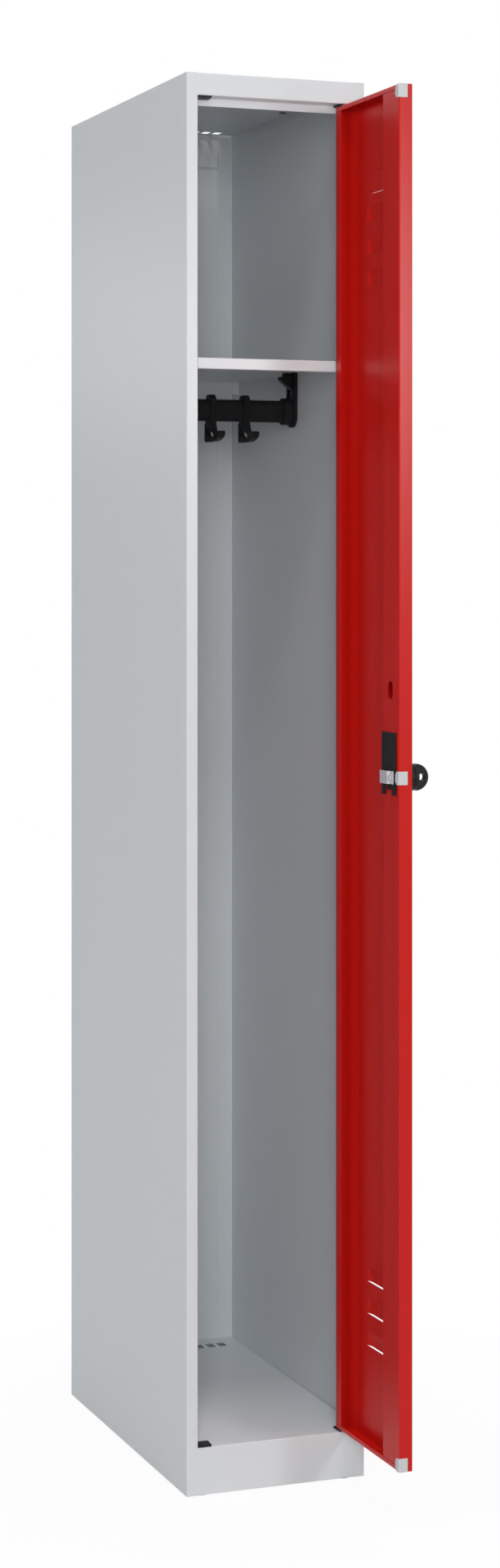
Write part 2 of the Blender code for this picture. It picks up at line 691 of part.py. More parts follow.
def coat_hooks(material, parent):
    """Sliding hooks cut from one profile: a ring round the rail, a foot with an eye, a turned-up tip."""
    half = HOOK_WIDTH / 2
    bore = oval(RAIL_HEIGHT + 2 * HOOK_FIT, RAIL_THICKNESS + 2 * HOOK_FIT, RAIL_STEPS)
    for number, name in enumerate(HOOK_NAMES):
        place = ((number - (len(HOOK_NAMES) - 1) / 2) * HOOK_PITCH, RAIL_CENTRE_Y, RAIL_CENTRE_Z)
        solid = slab(hook_outline(), along_x, -half, half)
        hook = make_object(f"coat_hook_{name}", solid, material, parent, place)
        for label, outline in (("bore", bore), ("eye", hook_eye())):
            helper = make_object(f"coat_hook_{name}_{label}", slab(outline, along_x, -HOOK_WIDTH, HOOK_WIDTH),
                                 material, parent, place)
            combine(hook, helper, "DIFFERENCE")


def louvre_levels():
    """Lower edges of all louvre windows, from the floor up."""
    starts = (DOOR_LOW + LOUVRE_LOWER_RISE, DOOR_TOP - LOUVRE_UPPER_DROP)
    return [start + i * LOUVRE_PITCH for start in starts for i in range(LOUVRE_COUNT)]


def slit_levels():
    low = DOOR_TOP - LABEL_SLIT_DROP
    return [low, low + LABEL_SLIT_PITCH]


def hole_levels():
    """Lower and upper edges of the holes at the slits' ends."""
    rise = (LABEL_HOLE - LABEL_SLIT_HEIGHT) / 2
    return [(low - rise, low + LABEL_SLIT_HEIGHT + rise) for low in slit_levels()]


def louvre_rise(x, z):
    """How far a point of the skin is pressed out into a louvre's hood."""
    across = abs(x - (HINGE_EDGE + FREE_EDGE) / 2)
    for low in louvre_levels():
        lip = low + LOUVRE_SHEAR
        top = low + LOUVRE_HEIGHT
        if across < LOUVRE_WIDTH / 2 - SEAT and lip - SEAT / 2 < z < top - SEAT / 2:
            drop = (top - z) / (top - lip)
            shoulder = min(1.0, (LOUVRE_WIDTH / 2 - across) / LOUVRE_END)
            return LOUVRE_DEPTH * sin(drop * pi / 2) * sin(shoulder * pi / 2)
    return 0.0


def door_keep(row, following, low, high):
    """Cells of the door sheet that are metal: not the open ends, the louvres' mouths, slits or holes."""
    x = (row[0] + following[0]) / 2
    z = (low + high) / 2
    skin = near(row[1], SKIN_Y) and near(following[1], SKIN_Y)
    across = abs(x - (HINGE_EDGE + FREE_EDGE) / 2)
    beyond = x - (HINGE_EDGE + FREE_EDGE + LABEL_SLIT_WIDTH) / 2
    if skin and DOOR_LOW + BEND < z < DOOR_TOP - BEND:
        mouth = any(level < z < level + LOUVRE_SHEAR for level in louvre_levels())
        slit = any(level < z < level + LABEL_SLIT_HEIGHT for level in slit_levels())
        hole = any(bottom < z < top for bottom, top in hole_levels())
        if mouth and across < LOUVRE_WIDTH / 2:
            return False
        if hole and 0 < beyond < LABEL_HOLE:
            return False
        return not (slit and across < LABEL_SLIT_WIDTH / 2)
    if skin:
        return across > DOOR_WIDTH / 2 - BEND - CORNER_RELIEF
    if FREE_EDGE + BEND < x < HINGE_EDGE - BEND:
        ends = END_RETURN + CORNER_RELIEF
        return DOOR_LOW + ends < z < DOOR_TOP - ends
    return True


def door_rows():
    """Section of the door sheet, with the skin's stations for louvres, slits and end folds."""
    box_wall = FREE_EDGE + LOCK_RETURN
    rows = folded([(HINGE_EDGE - HINGE_RETURN, FLANGE_Y), (HINGE_EDGE, FLANGE_Y), (HINGE_EDGE, SKIN_Y),
                   (FREE_EDGE, SKIN_Y), (FREE_EDGE, FLANGE_Y), (box_wall, FLANGE_Y),
                   (box_wall, SKIN_Y + SHEET + RETURN_STANDOFF)])
    middle = (HINGE_EDGE + FREE_EDGE) / 2
    shoulders = [LOUVRE_WIDTH / 2 - LOUVRE_END * i / LOUVRE_STEPS for i in range(LOUVRE_STEPS + 1)]
    halves = shoulders + [LABEL_SLIT_WIDTH / 2, DOOR_WIDTH / 2 - BEND - CORNER_RELIEF]
    stations = [middle - half for half in halves] + [middle + half for half in halves]
    stations.append(middle + LABEL_SLIT_WIDTH / 2 + LABEL_HOLE)
    return with_stations(rows, stations, SKIN_Y)


def door_columns():
    """Heights at which the door sheet changes: end folds, louvres and slits."""
    ends = END_RETURN + CORNER_RELIEF
    levels = [DOOR_LOW, DOOR_LOW + BEND, DOOR_LOW + ends, DOOR_TOP - ends, DOOR_TOP - BEND, DOOR_TOP]
    for low in louvre_levels():
        lip = low + LOUVRE_SHEAR
        top = low + LOUVRE_HEIGHT
        levels += [low] + [lip + (top - lip) * i / LOUVRE_STEPS for i in range(LOUVRE_STEPS + 1)]
    for low in slit_levels():
        levels += [low, low + LABEL_SLIT_HEIGHT]
    for bottom, top in hole_levels():
        levels += [bottom, top]
    return sorted(levels)


def door_place(row, z):
    """A point of the door sheet, pressed outward where it lies in a louvre."""
    rise = louvre_rise(row[0], z) if near(row[1], SKIN_Y) else 0.0
    return (row[0], row[1] - rise, z)


def end_folds(bm):
    """Fold the skin's upper and lower ends in, then towards each other, between the door's edges."""
    reach = DOOR_WIDTH / 2 - BEND - CORNER_RELIEF
    middle = (HINGE_EDGE + FREE_EDGE) / 2
    for level, up in ((DOOR_TOP - BEND, 1), (DOOR_LOW + BEND, -1)):
        moves = bend_moves((0, 0, up), (0, 1, 0), DOOR_THICKNESS - BEND)
        moves += bend_moves((0, 1, 0), (0, 0, -up), END_RETURN)
        fold_edge(bm, lambda p: near(p.z, level) and near(p.y, SKIN_Y) and abs(p.x - middle) < reach, moves)


def lock_box():
    """Lower and upper corner of the lock body, in the door's frame."""
    left = FREE_EDGE + LOCK_BODY_FROM_EDGE
    low = (left, SKIN_Y + SHEET + SEAT, LOCK_HEIGHT - LOCK_BODY_BELOW)
    high = (left + LOCK_BODY_WIDTH, FLANGE_Y, LOCK_HEIGHT + LOCK_BODY_ABOVE)
    return Vector(low), Vector(high)


def axis_drill(name, radius, low, high, material, parent):
    """Hidden round cutter on the latch's axis, between two depths of the door."""
    drill = turned([(low, radius), (high, radius)], (0, 1, 0), LATCH_SIDES)
    return make_object(name, drill, material, parent, (LOCK_X, 0.0, LOCK_HEIGHT))


def door_panel(material, parent):
    """Door pan: one folded sheet with louvres, label slits, end folds and the lock-side box."""
    bm = grid_sheet(door_rows(), door_place, door_columns(), door_keep)
    end_folds(bm)
    face_outward(bm, (0.0, -1.0, 0.0))
    merge_flat(bm)
    door = thicken(make_object("door_panel", bm, material, parent))
    low, high = lock_box()
    window = box((low.x - SEAT, FLANGE_Y - 2 * SHEET, low.z - SEAT),
                 (high.x + SEAT, FLANGE_Y + SHEET, high.z + SEAT))
    combine(door, make_object("lock_window", window, material, parent), "DIFFERENCE")
    rise = (KEYHOLE_HEIGHT - KEYHOLE_WIDTH) / 2
    keyhole = arc((0.0, rise), KEYHOLE_WIDTH / 2, 0, 180, KEYHOLE_STEPS)
    keyhole += arc((0.0, -rise), KEYHOLE_WIDTH / 2, 180, 360, KEYHOLE_STEPS)
    slot = slab(keyhole, along_y, FLANGE_Y - 2 * SHEET, FLANGE_Y + SHEET)
    place = (FREE_EDGE + KEYHOLE_FROM_EDGE, 0.0, LOCK_HEIGHT + KEYHOLE_ABOVE_LOCK)
    combine(door, make_object("keyhole", slot, material, parent, place), "DIFFERENCE")
    spindle_hole = axis_drill("skin_hole", SPINDLE_RADIUS + SPINDLE_FIT, SKIN_Y - SHEET, SKIN_Y + 2 * SHEET,
                              material, parent)
    combine(door, spindle_hole, "DIFFERENCE")
    for name, low_z, high_z in (("top", DOOR_TOP - 2 * SHEET, DOOR_TOP + SHEET),
                                ("bottom", DOOR_LOW - SHEET, DOOR_LOW + 2 * SHEET)):
        drill = turned([(low_z, PIN_RADIUS + SEAT), (high_z, PIN_RADIUS + SEAT)], (0, 0, 1), PIN_SIDES)
        combine(door, make_object(f"pin_hole_{name}", drill, material, parent), "DIFFERENCE")
    return door


def hinge_pins(material, parent):
    """Pins through the door's end folds, each with a collar that rides on its pivot plate."""
    plate_face = FLOOR_TOP + SEAT + PLATE_THICKNESS
    collar_low = plate_face + SEAT
    collar_high = DOOR_LOW - SEAT
    end = FLOOR_TOP + 2 * SEAT
    profile = [(end, PIN_RADIUS - PIN_CHAMFER), (end + PIN_CHAMFER, PIN_RADIUS), (collar_low, PIN_RADIUS),
               (collar_low, PIN_COLLAR_RADIUS), (collar_high, PIN_COLLAR_RADIUS), (collar_high, PIN_RADIUS),
               (DOOR_LOW + PIN_LENGTH, PIN_RADIUS)]
    make_object("hinge_pin_bottom", turned(profile, (0, 0, 1), PIN_SIDES), material, parent)
    mirrored = [(FLOOR_TOP + HEADER_LOW - z, radius) for z, radius in reversed(profile)]
    make_object("hinge_pin_top", turned(mirrored, (0, 0, 1), PIN_SIDES), material, parent)


def bumper(name, low, material, parent):
    """Angle of pale rubber over the free edge's inner corner, chamfered on the inner leg."""
    edge_in = FREE_EDGE - SEAT
    edge_out = edge_in - BUMPER_EDGE_WALL
    flange_in = FLANGE_Y + SEAT
    flange_out = flange_in + BUMPER_FLANGE_WALL
    far = FREE_EDGE + BUMPER_ON_FLANGE
    start = FLANGE_Y - BUMPER_ON_EDGE
    outline = [(edge_in, start), (edge_in, flange_in), (far, flange_in), (far, flange_out),
               (edge_out, flange_out), (edge_out, start)]
    bm = slab(outline, along_z, low, low + BUMPER_HEIGHT)
    corners = [e for e in bm.edges if all(near(v.co.x, far) for v in e.verts)
               and near(e.verts[0].co.z, e.verts[1].co.z)]
    bmesh.ops.bevel(bm, geom=corners, offset=BUMPER_CHAMFER, segments=1, affect="EDGES")
    return make_object(name, bm, material, parent)


def bumpers(material, parent):
    bumper("bumper_bottom", DOOR_LOW + BUMPER_END_INSET, material, parent)
    bumper("bumper_middle", LOCK_HEIGHT - BUMPER_HEIGHT / 2, material, parent)
    bumper("bumper_top", DOOR_TOP - BUMPER_END_INSET - BUMPER_HEIGHT, material, parent)


def lock_case(material, parent):
    """Fixed pieces of the latch: the body in the box fold, the inner cover plate and the outer rosette."""
    low, high = lock_box()
    body = make_object("lock_body", box(low, high), material, parent)
    bore = SPINDLE_RADIUS + SPINDLE_FIT
    drill = axis_drill("lock_body_bore", bore, SKIN_Y - DOOR_THICKNESS, FLANGE_Y + DOOR_THICKNESS,
                       material, parent)
    combine(body, drill, "DIFFERENCE")
    left = FREE_EDGE + COVER_EDGE_INSET
    bottom = LOCK_HEIGHT - COVER_BELOW
    inner = FLANGE_Y + SEAT
    outer = inner + COVER_WALL
    sheet = box((left, inner, bottom), (left + COVER_WIDTH, outer, bottom + COVER_HEIGHT))
    cover = make_object("lock_cover", sheet, material, parent)
    notch_left = FREE_EDGE + COVER_NOTCH_FROM_EDGE
    notch = box((notch_left, inner - COVER_WALL, bottom - COVER_WALL),
                (notch_left + COVER_NOTCH, outer + COVER_WALL, LOCK_HEIGHT - COVER_NOTCH_BELOW))
    combine(cover, make_object("cover_notch", notch, material, parent), "DIFFERENCE")
    combine(cover, axis_drill("cover_bore", bore, inner - COVER_WALL, outer + COVER_WALL, material, parent),
            "DIFFERENCE")
    room = BUMPER_HEIGHT / 2 + SEAT
    corner = box((FREE_EDGE, inner - COVER_WALL, LOCK_HEIGHT - room),
                 (FREE_EDGE + BUMPER_ON_FLANGE + SEAT, outer + COVER_WALL, LOCK_HEIGHT + room))
    combine(cover, make_object("cover_bumper_room", corner, material, parent), "DIFFERENCE")
    face = SKIN_Y - SEAT
    rosette = turned([(face - ROSETTE_HEIGHT, ROSETTE_RADIUS - ROSETTE_EDGE),
                      (face - ROSETTE_HEIGHT + ROSETTE_EDGE, ROSETTE_RADIUS), (face, ROSETTE_RADIUS)],
                     (0, 1, 0), LATCH_SIDES)
    plate = make_object("lock_rosette", rosette, material, parent, (LOCK_X, 0.0, LOCK_HEIGHT))
    drill = axis_drill("rosette_bore", bore, face - 2 * ROSETTE_HEIGHT, face + ROSETTE_HEIGHT,
                       material, parent)
    combine(plate, drill, "DIFFERENCE")


def turn_handle(material, parent):
    """Round hub with a half-round wing that has the padlock eye. Its frame's origin is on the latch axis."""
    base = SKIN_Y - ROSETTE_HEIGHT - 2 * SEAT
    top = base - HANDLE_HUB_HEIGHT
    rim = HANDLE_RADIUS - ROSETTE_EDGE
    profile = [(top, rim), (top + ROSETTE_EDGE, HANDLE_RADIUS), (base, HANDLE_RADIUS)]
    hub = turned(profile, (0, 1, 0), LATCH_SIDES)
    handle = make_object("turn_handle", hub, material, parent)
    half_round = arc((top, 0.0), HANDLE_RADIUS, 90, 270, HANDLE_STEPS)
    root = top + HANDLE_HUB_HEIGHT / 2
    outline = [(root, rim), *half_round, (root, -rim)]
    wing = slab(outline, lambda p, x: (x, p[0], p[1]), -HANDLE_WING / 2, HANDLE_WING / 2)
    combine(handle, make_object("handle_wing", wing, material, parent), "UNION")
    eye = turned([(-HANDLE_WING, PADLOCK_RADIUS), (HANDLE_WING, PADLOCK_RADIUS)], (1, 0, 0), LATCH_SIDES)
    combine(handle, make_object("padlock_eye", eye, material, parent, (0.0, top - PADLOCK_FROM_HUB, 0.0)),
            "DIFFERENCE")
    bore = SPINDLE_RADIUS + SEAT
    socket = turned([(base - HANDLE_SOCKET, bore), (base + HANDLE_SOCKET, bore)], (0, 1, 0), LATCH_SIDES)
    return combine(handle, make_object("handle_socket", socket, material, parent), "DIFFERENCE")


def latch_works(zinc, parent):
    """Spindle through the door, cranked cam on its inner end, and the nut that holds the cam."""
    outer_end = SKIN_Y - ROSETTE_HEIGHT - 2 * SEAT - HANDLE_SOCKET + SEAT
    shoulder = FLANGE_Y + COVER_WALL + 2 * SEAT
    cam_face = shoulder + CAM_WALL + SEAT
    thread_end = cam_face + NUT_HEIGHT
    profile = [(outer_end, SPINDLE_RADIUS), (shoulder - SEAT, SPINDLE_RADIUS),
               (shoulder - SEAT, THREAD_RADIUS), (thread_end, THREAD_RADIUS)]
    make_object("lock_spindle", turned(profile, (0, 1, 0), LATCH_SIDES), zinc, parent)
    bore = THREAD_RADIUS + SEAT
    drill = turned([(shoulder - CAM_WALL, bore), (thread_end + CAM_WALL, bore)], (0, 1, 0), LATCH_SIDES)
    hole = make_object("thread_hole", drill, zinc, parent)
    crank_end = CAM_CRANK_START + CAM_RUN
    raised = CAM_CRANK + CAM_WALL
    outline = [(-CAM_TAIL, 0.0), (CAM_CRANK_START + CAM_WALL, 0.0), (crank_end + CAM_WALL, CAM_CRANK),
               (CAM_REACH, CAM_CRANK), (CAM_REACH, raised), (crank_end, raised),
               (CAM_CRANK_START, CAM_WALL), (-CAM_TAIL, CAM_WALL)]
    outline = [(x, shoulder + y) for x, y in outline]
    cam = make_object("latch_cam", slab(outline, along_z, -CAM_HEIGHT / 2, CAM_HEIGHT / 2), zinc, parent)
    combine(cam, hole, "DIFFERENCE")
    flats = arc((0.0, 0.0), NUT_WIDTH / 2 / cos(pi / 6), 30, 330, 5)
    nut = make_object("cam_nut", slab(flats, along_y, cam_face, cam_face + NUT_HEIGHT), zinc, parent)
    combine(nut, hole, "DIFFERENCE")


def build():
    clear_scene()
    grey, red, black, pale, plastic, zinc = [make_material(name) for name in COLOURS]
    cabinet = make_empty("cabinet_frame", None, (-BOX_X, -BOX_Y, 0.0))
    side_panel("left_side_panel", -1, grey, cabinet)
    side_panel("right_side_panel", 1, grey, cabinet)
    make_object("rear_panel", box((-WIDTH / 2, REAR - SHEET, BASE), (WIDTH / 2, REAR, HEIGHT)), grey, cabinet)
    roof_panel(grey, cabinet)
    floor_panel(grey, cabinet)
    hat_shelf(grey, cabinet)
    pivot_plates(black, cabinet)
    glides(plastic, cabinet)
    clothes_rail(black, cabinet)
    rail_bracket("rail_bracket_left", -1, black, cabinet)
    rail_bracket("rail_bracket_right", 1, black, cabinet)
    coat_hooks(black, cabinet)
    door = make_empty("door_hinge", cabinet, (HINGE_X, HINGE_Y, 0.0), DOOR_OPEN)
    door_panel(red, door)
    hinge_pins(zinc, door)
    bumpers(pale, door)
    lock_case(black, door)
    latch = make_empty("latch_axis", door, (LOCK_X, 0.0, LOCK_HEIGHT))
    turn_handle(black, latch)
    latch_works(zinc, latch)


build()
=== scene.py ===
"""Looks of the clothing locker: finishes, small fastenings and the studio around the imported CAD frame.

Metres, +Z up, the cabinet faces -Y. Every piece is built in the row frame at rest and rides on a CAD body.
"""

import json
from math import cos, pi, radians, sin

import bmesh
import bpy
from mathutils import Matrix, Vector

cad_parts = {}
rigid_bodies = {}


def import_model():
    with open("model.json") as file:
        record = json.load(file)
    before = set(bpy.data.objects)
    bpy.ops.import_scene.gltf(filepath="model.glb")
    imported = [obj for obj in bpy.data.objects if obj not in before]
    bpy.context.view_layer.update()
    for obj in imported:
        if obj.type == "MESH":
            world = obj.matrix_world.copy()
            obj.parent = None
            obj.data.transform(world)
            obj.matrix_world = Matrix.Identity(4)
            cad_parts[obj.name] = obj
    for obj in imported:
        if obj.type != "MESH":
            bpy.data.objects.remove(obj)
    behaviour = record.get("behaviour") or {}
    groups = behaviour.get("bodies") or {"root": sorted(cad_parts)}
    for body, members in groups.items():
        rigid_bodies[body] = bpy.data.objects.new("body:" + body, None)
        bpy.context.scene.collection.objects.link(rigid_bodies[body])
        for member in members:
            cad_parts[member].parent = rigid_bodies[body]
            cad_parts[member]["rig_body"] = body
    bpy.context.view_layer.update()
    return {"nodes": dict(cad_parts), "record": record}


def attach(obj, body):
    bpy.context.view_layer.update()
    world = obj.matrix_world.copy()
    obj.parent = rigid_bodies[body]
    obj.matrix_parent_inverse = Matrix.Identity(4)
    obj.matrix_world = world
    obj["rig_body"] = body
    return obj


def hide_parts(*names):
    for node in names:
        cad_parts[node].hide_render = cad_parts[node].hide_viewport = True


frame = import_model()

# Camera, fitted to the photograph's edges
CAMERA_PLACE = (-1.3438, -3.68175, 1.1707)
CAMERA_TURN = radians(-21.35)
CAMERA_LENS = 67.99
CAMERA_SHIFT = (-0.0361, -0.1360)

# Finishing of the CAD meshes
WELD = 2e-6              # points nearer than this become one
FLAT = radians(0.4)      # faces that meet at less than this become one
SHARP = radians(38)      # edges above this angle are broken
ROUND = 0.5              # a broken edge's profile, a circle's arc
SHEET_EDGE = 0.00018
PLASTIC_EDGE = 0.0005
RUBBER_EDGE = 0.0012
METAL_EDGE = 0.0003

# Places in the row frame at rest, in metres
CABINET_X = -0.0046
OPENING_HALF = 0.1058
FLANGE_HALF = 0.0985
FRONT = -0.14985
FLANGE_FACE = 0.34825
REAR_FACE = 0.34935
HEADER = (1.7715, 1.8)   # lowest and highest, as in the next two
PLINTH = (0.003, 0.063)
REAR_SEAM = (0.0635, 1.7525)
WALL_HALF = 0.1202
ROOF_FLANGE_INSET = 0.0011
ROOF_FLANGE_LOW = 1.7880
ROOF_SEAM = (-0.128, 0.347)  # front and rear ends
WELD_REACH = (-0.0005, 0.0016)  # from the opening's edge, over the header and into the strip
WELD_DEPTH = 0.004
BEAD = 0.0009
ROOF_BEAD = 0.010
ROOF_PLUG = (0.106, 0.117)  # middle of the plug, seen from above
ROOF_PLUG_RADIUS = 0.0052
ROOF_PLUG_RIM = 0.0005
ROOF_PLUG_SIDES = 24
DOOR_RETURN = 0.0805
# Painted shade: the notch is drawn as a thin black sheet on the door's upper return, standing for the
# shade inside it
DOOR_NOTCH_SHADE = ((-0.2396, -0.2380), (1.7613, 1.7648))  # along the return and in height
DOOR_SKIN = 0.0975       # inner face of the open door's skin
DOOR_WALL = -0.14175     # inner face of its fold beside the hinge
DOOR_INSIDE = (0.0681, 1.7664)  # lowest and highest
SHEET = 0.0008
FOLD = 0.0014
FOLD_STEPS = 4
LABEL_SLIT = (-0.2242, -0.2660)  # ends of a label slit, nearer the hinge first
LABEL_LIP = (1.6748, 1.6768)  # heights of the lip's edges
LIP_PROFILE = ((0.0002, 0.0006), (0.0005, 0.0016))  # rise above the skin and distance from an end
COVE = (0.012, 0.036)    # reach of the cove along the wall and along the skin
COVE_STEPS = 14
FLUSH = 0.00003          # how far a flush piece stands proud, so that no two faces share a plane
SEAT = 0.0003            # how far a bead reaches under the edge that it runs along

# Materials: scale of each texture per metre, and how far it moves the finish
COAT_TONE_SCALE = 1.6
COAT_TONE = 0.006
COAT_SATIN_SCALE = 2.3
COAT_SATIN = 0.006
COAT_PEEL_SCALE = 420.0
COAT_PEEL = 0.02
MOULD_TONE_SCALE = 90.0
MOULD_SATIN_SCALE = 220.0
MOULD_SATIN = 0.06
MOULD_GRAIN_SCALE = 2600.0
MOULD_GRAIN = 0.18
ZINC_TONE_SCALE = 160.0
ZINC_TONE = 0.05
ZINC_LINE_SCALE = 900.0
ZINC_LINE_STRETCH = (0.3, 0.06, 3.0)
ZINC_SATIN = 0.04
ZINC_LINES = 0.03
ZINC_METALLIC = 0.55
BUMP_HEIGHT = 0.0001
NOISE_RANGE = (0.3, 0.7)  # the part of a noise texture's values that is spread out

# Colours, linear
GREY = (0.693, 0.731, 0.753)
RED = (0.585, 0.009, 0.006)
BLACK = (0.0135, 0.0135, 0.0145)
PALE = (0.620, 0.630, 0.642)
PLASTIC = (0.582, 0.588, 0.599)
ZINC = (0.715, 0.700, 0.725)


def new_material(name, roughness, gloss, metallic=0.0):
    """A material with a Principled shader and object coordinates, ready for textures."""
    material = bpy.data.materials.new(name)
    material.use_nodes = True
    tree = material.node_tree
    shader = tree.nodes["Principled BSDF"]
    shader.inputs["Roughness"].default_value = roughness
    shader.inputs["Metallic"].default_value = metallic
    shader.inputs["Specular IOR Level"].default_value = gloss
    place = tree.nodes.new("ShaderNodeTexCoord")
    return material, tree, shader, place.outputs["Object"]


def noise(tree, place, scale, detail=2.0, stretch=None):
    """A noise texture's value, optionally stretched along the axes."""
    texture = tree.nodes.new("ShaderNodeTexNoise")
    texture.inputs["Scale"].default_value = scale
    texture.inputs["Detail"].default_value = detail
    if stretch:
        mapping = tree.nodes.new("ShaderNodeMapping")
        mapping.inputs["Scale"].default_value = stretch
        tree.links.new(place, mapping.inputs["Vector"])
        place = mapping.outputs["Vector"]
    tree.links.new(place, texture.inputs["Vector"])
    return texture.outputs["Fac"]


def ranged(tree, value, low, high):
    """A texture's middle range spread between two values."""
    spread = tree.nodes.new("ShaderNodeMapRange")
    spread.inputs["From Min"].default_value, spread.inputs["From Max"].default_value = NOISE_RANGE
    spread.inputs["To Min"].default_value = low
    spread.inputs["To Max"].default_value = high
    tree.links.new(value, spread.inputs["Value"])
    return spread.outputs["Result"]


def tinted(tree, value, colour, spread):
    """The base colour, a little darker or lighter with a texture's value."""
    mix = tree.nodes.new("ShaderNodeMix")
    mix.data_type = "RGBA"
    dark = [c * (1 - spread) for c in colour]
    light = [min(1.0, c * (1 + spread)) for c in colour]
    mix.inputs["A"].default_value = (*dark, 1.0)
    mix.inputs["B"].default_value = (*light, 1.0)
    tree.links.new(value, mix.inputs["Factor"])
    return mix.outputs["Result"]


def bumped(tree, shader, value, strength):
    """Let a texture's value raise the surface."""
    bump = tree.nodes.new("ShaderNodeBump")
    bump.inputs["Strength"].default_value = strength
    bump.inputs["Distance"].default_value = BUMP_HEIGHT
    tree.links.new(value, bump.inputs["Height"])
    tree.links.new(bump.outputs["Normal"], shader.inputs["Normal"])


def powder_coat(name, colour, roughness, gloss):
    """Satin powder coat: a faint orange peel, and a slow change of tone and gloss over the sheet."""
    material, tree, shader, place = new_material(name, roughness, gloss)
    tone = ranged(tree, noise(tree, place, COAT_TONE_SCALE, detail=0.0), 0.0, 1.0)
    tree.links.new(tinted(tree, tone, colour, COAT_TONE), shader.inputs["Base Color"])
    value = noise(tree, place, COAT_SATIN_SCALE, detail=0.0)
    satin = ranged(tree, value, roughness - COAT_SATIN, roughness + COAT_SATIN)
    tree.links.new(satin, shader.inputs["Roughness"])
    bumped(tree, shader, noise(tree, place, COAT_PEEL_SCALE, detail=0.0), COAT_PEEL)
    return material


def moulded(name, colour, roughness, gloss, spread):
    """Moulded plastic or rubber: fine erosion grain and uneven gloss."""
    material, tree, shader, place = new_material(name, roughness, gloss)
    tone = ranged(tree, noise(tree, place, MOULD_TONE_SCALE), 0.0, 1.0)
    tree.links.new(tinted(tree, tone, colour, spread), shader.inputs["Base Color"])
    value = noise(tree, place, MOULD_SATIN_SCALE)
    satin = ranged(tree, value, roughness - MOULD_SATIN, roughness + MOULD_SATIN)
    tree.links.new(satin, shader.inputs["Roughness"])
    bumped(tree, shader, noise(tree, place, MOULD_GRAIN_SCALE, detail=3.0), MOULD_GRAIN)
    return material


def plated(name, colour, roughness, gloss):
    """Zinc plated steel: soft drawn lines, cloudy passivation."""
    material, tree, shader, place = new_material(name, roughness, gloss, ZINC_METALLIC)
    tone = ranged(tree, noise(tree, place, ZINC_TONE_SCALE), 0.0, 1.0)
    tree.links.new(tinted(tree, tone, colour, ZINC_TONE), shader.inputs["Base Color"])
    lines = noise(tree, place, ZINC_LINE_SCALE, detail=3.0, stretch=ZINC_LINE_STRETCH)
    satin = ranged(tree, lines, roughness - ZINC_SATIN, roughness + ZINC_SATIN)
    tree.links.new(satin, shader.inputs["Roughness"])
    bumped(tree, shader, lines, ZINC_LINES)
    return material


# Roughness and gloss of each finish, and for plastic and rubber how far the tone varies
grey = powder_coat("grey_powder_coat", GREY, 0.29, 0.25)
red = powder_coat("red_powder_coat", RED, 0.28, 0.22)
matt_red = powder_coat("red_powder_coat_inside", RED, 0.60, 0.14)
black = moulded("black_moulded_plastic", BLACK, 0.42, 0.15, 0.12)
pale = moulded("pale_rubber_finish", PALE, 0.55, 0.4, 0.03)
plastic = moulded("grey_moulded_plastic", PLASTIC, 0.5, 0.4, 0.03)
zinc = plated("zinc_plate", ZINC, 0.42, 0.5)


def add_piece(name, bm, material, body):
    """Make a finished object of a bmesh that rides on a CAD body."""
    mesh = bpy.data.meshes.new(name)
    bm.to_mesh(mesh)
    bm.free()
    mesh.materials.append(material)
    mesh.shade_smooth()
    mesh.set_sharp_from_angle(angle=SHARP)
    piece = bpy.data.objects.new(name, mesh)
    bpy.context.scene.collection.objects.link(piece)
    weights = piece.modifiers.new("flat_faces", "WEIGHTED_NORMAL")
    weights.keep_sharp = True
    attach(piece, body)
    return piece


slots = {row["node"]: row["material_slot"] for row in frame["record"]["subparts"]}


def finish_node(node, material, edge, steps):
    """Replace a faceted CAD node by the same shape with welded, broken edges and smooth folds."""
    bm = bmesh.new()
    bm.from_mesh(frame["nodes"][node].data)
    bmesh.ops.remove_doubles(bm, verts=bm.verts, dist=WELD)
    bmesh.ops.dissolve_limit(bm, angle_limit=FLAT, verts=bm.verts, edges=bm.edges)
    edges = [e for e in bm.edges if len(e.link_faces) == 2 and e.calc_face_angle() > SHARP]
    bmesh.ops.bevel(
        bm, geom=edges, offset=edge, segments=steps, profile=ROUND, affect="EDGES", clamp_overlap=True)
    body = frame["nodes"][node]["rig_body"]
    piece = add_piece(f"{node}_finish", bm, material, body)
    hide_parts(node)


FINISHES = {  # each slot's material, and its broken edges' width and steps
    "grey_coat": (grey, SHEET_EDGE, 2),
    "red_coat": (red, SHEET_EDGE, 2),
    "black_plastic": (black, PLASTIC_EDGE, 2),
    "pale_rubber": (pale, RUBBER_EDGE, 3),
    "grey_plastic": (plastic, PLASTIC_EDGE, 2),
    "zinc": (zinc, METAL_EDGE, 2),
}
for node_name in sorted(frame["nodes"]):
    finish_node(node_name, *FINISHES[slots[node_name]])


def along_x(point, level):
    """A point of a y, z outline at a level of x."""
    return (level, point[0], point[1])


def along_y(point, level):
    """A point of an x, z outline at a level of y."""
    return (point[0], level, point[1])


def along_z(point, level):
    """A point of an x, y outline at a level of z."""
    return (point[0], point[1], level)


def drawn(outline, place, low, high):
    """A closed solid: a 2-D outline drawn out between two levels of its third direction."""
    bm = bmesh.new()
    first = [bm.verts.new(place(point, low)) for point in outline]
    last = [bm.verts.new(place(point, high)) for point in outline]
    bm.faces.new(first)
    bm.faces.new(last)
    for i in range(len(outline)):
        j = (i + 1) % len(outline)
        bm.faces.new((first[i], first[j], last[j], last[i]))
    bmesh.ops.recalc_face_normals(bm, faces=bm.faces)
    return bm


def arc(middle, radii, start, end, steps):
    """Points of a 2-D arc of an ellipse, both ends included, angles in degrees."""
    turns = [radians(start + (end - start) * i / steps) for i in range(steps + 1)]
    return [(middle[0] + radii[0] * cos(a), middle[1] + radii[1] * sin(a)) for a in turns]


